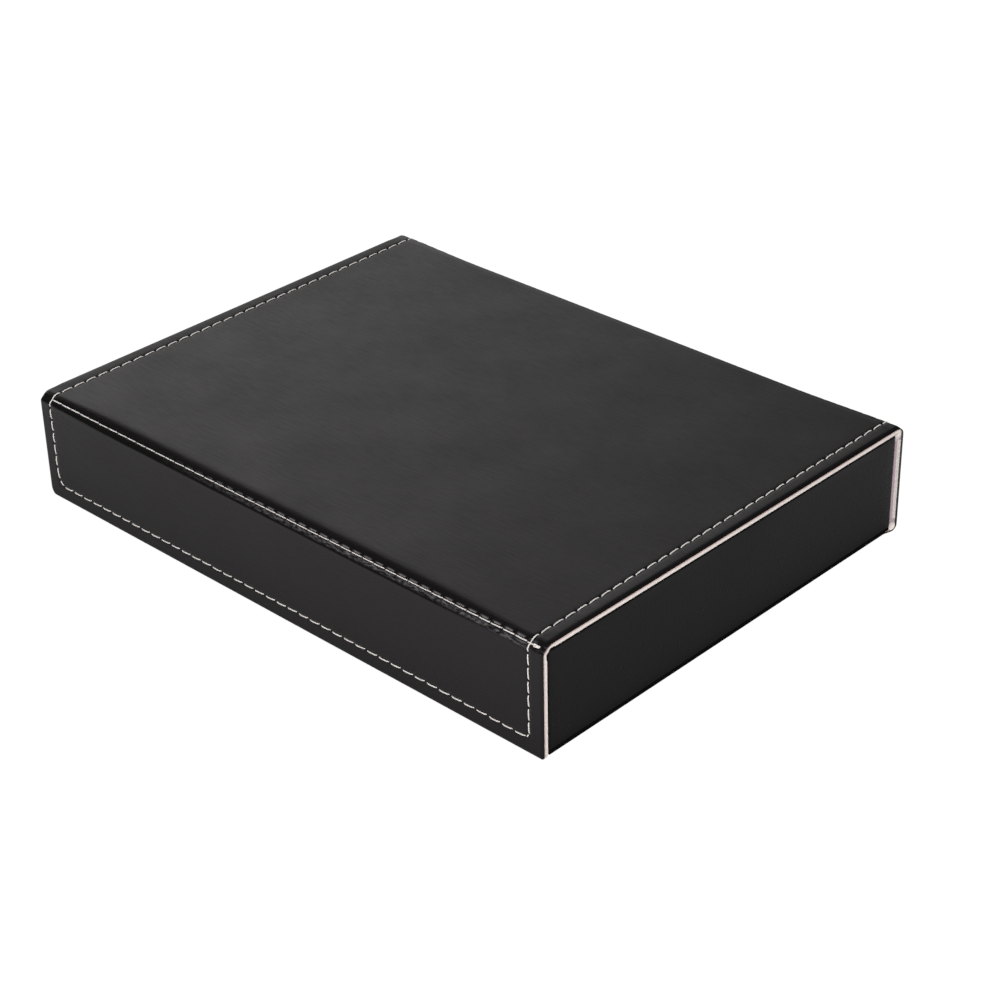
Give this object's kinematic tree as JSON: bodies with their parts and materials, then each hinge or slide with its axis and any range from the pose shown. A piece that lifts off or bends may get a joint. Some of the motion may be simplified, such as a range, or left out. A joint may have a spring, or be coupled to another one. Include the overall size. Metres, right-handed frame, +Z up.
{
  "type": "eyeglass display case",
  "caption": "Low leather covered display case for eyeglasses: stitched wrap-around cover with a lid and magnetic front flap round a velvet lined tray with divided cells.",
  "frame": {"origin": "middle of the underside, on the surface that the closed case stands on", "axes": "+X along the long side, -Y towards the flap at the front, +Z up"},
  "size_m": [0.32, 0.2408, 0.0553],
  "materials": {
    "cover_leather": "satin black imitation leather with a fine grain",
    "tray_leather": "smooth semi-gloss black imitation leather",
    "cover_board": "pale grey-cream board, raw cut edge",
    "tray_board": "raw fibre board",
    "cover_lining": "thin cream velvet on foam",
    "velvet": "beige short-pile velvet",
    "thread": "off-white twisted polyester thread",
    "magnet": "nickel plated magnet"
  },
  "bodies": {
    "tray": {"base_leather": "cover_leather", "tray_base_board": "tray_board", "tray_front_wall": "tray_board", "tray_back_wall": "tray_board", "tray_left_wall": "tray_board", "tray_right_wall": "tray_board", "tray_magnet_left": "magnet", "tray_magnet_right": "magnet", "tray_leather": "tray_leather", "velvet_front": "velvet", "velvet_back": "velvet", "velvet_left": "velvet", "velvet_right": "velvet", "middle_divider_core": "cover_board", "middle_divider_velvet": "velvet", "cross_divider_1_core": "cover_board", "cross_divider_1_velvet": "velvet", "cross_divider_2_core": "cover_board", "cross_divider_2_velvet": "velvet", "cross_divider_3_core": "cover_board", "cross_divider_3_velvet": "velvet", "floor_pad_1_left": "velvet", "floor_pad_1_right": "velvet", "floor_pad_2_left": "velvet", "floor_pad_2_right": "velvet", "floor_pad_3_left": "velvet", "floor_pad_3_right": "velvet", "floor_pad_4_left": "velvet", "floor_pad_4_right": "velvet"},
    "spine": {"spine_leather": "cover_leather", "spine_board": "cover_board", "spine_lining": "cover_lining", "spine_thread_left": "thread", "spine_thread_right": "thread", "bottom_fold_thread": "thread"},
    "lid": {"lid_leather": "cover_leather", "lid_board": "cover_board", "lid_lining": "cover_lining", "lid_thread_left": "thread", "lid_thread_right": "thread", "back_fold_thread": "thread"},
    "flap": {"flap_leather": "cover_leather", "flap_board": "cover_board", "flap_lining": "cover_lining", "flap_magnet_left": "magnet", "flap_magnet_right": "magnet", "flap_edge_thread": "thread", "front_fold_thread": "thread"}
  },
  "joints": [
    {"name": "spine_hinge", "type": "hinge", "parent": "tray", "child": "spine", "pos_m": [0, 0.11854, 0.00146], "axis": [-1, 0, 0], "range_deg": [0, 90]},
    {"name": "lid_hinge", "type": "hinge", "parent": "spine", "child": "lid", "pos_m": [0, 0.11854, 0.05354], "axis": [-1, 0, 0], "range_deg": [0, 90]},
    {"name": "flap_hinge", "type": "hinge", "parent": "lid", "child": "flap", "pos_m": [0, -0.11854, 0.05354], "axis": [-1, 0, 0], "range_deg": [0, 90]}
  ],
  "couplings": [
    {"joint": "spine_hinge", "follows": "lid_hinge", "ratio": 1}
  ]
}
